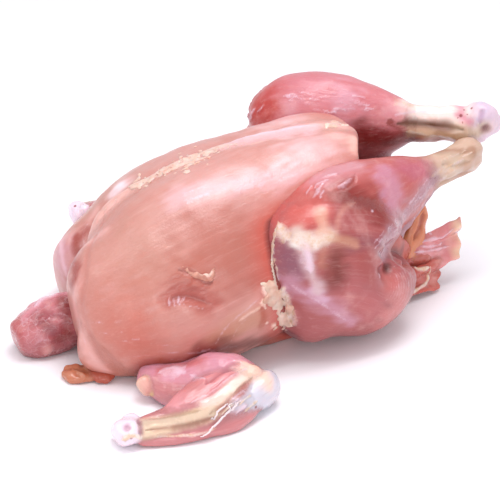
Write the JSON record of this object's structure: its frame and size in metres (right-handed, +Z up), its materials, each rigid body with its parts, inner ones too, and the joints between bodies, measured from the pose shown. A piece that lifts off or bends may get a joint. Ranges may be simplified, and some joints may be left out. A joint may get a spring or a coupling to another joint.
{
  "type": "whole raw chicken",
  "caption": "Skinned and dressed raw chicken lying on its back, with crossed shanks, folded wings, a neck stub and an open body cavity.",
  "frame": {"origin": "on the floor, under the middle of the bird's bounding box", "axes": "+X runs from the neck to the tail, -Y is the bird's right side, and +Z is up from its back to its breast"},
  "size_m": [0.282, 0.2192, 0.1135],
  "materials": {
    "raw_meat": "moist, satin to wet gloss"
  },
  "bodies": {
    "root": {"chicken": "raw_meat"}
  },
  "joints": []
}
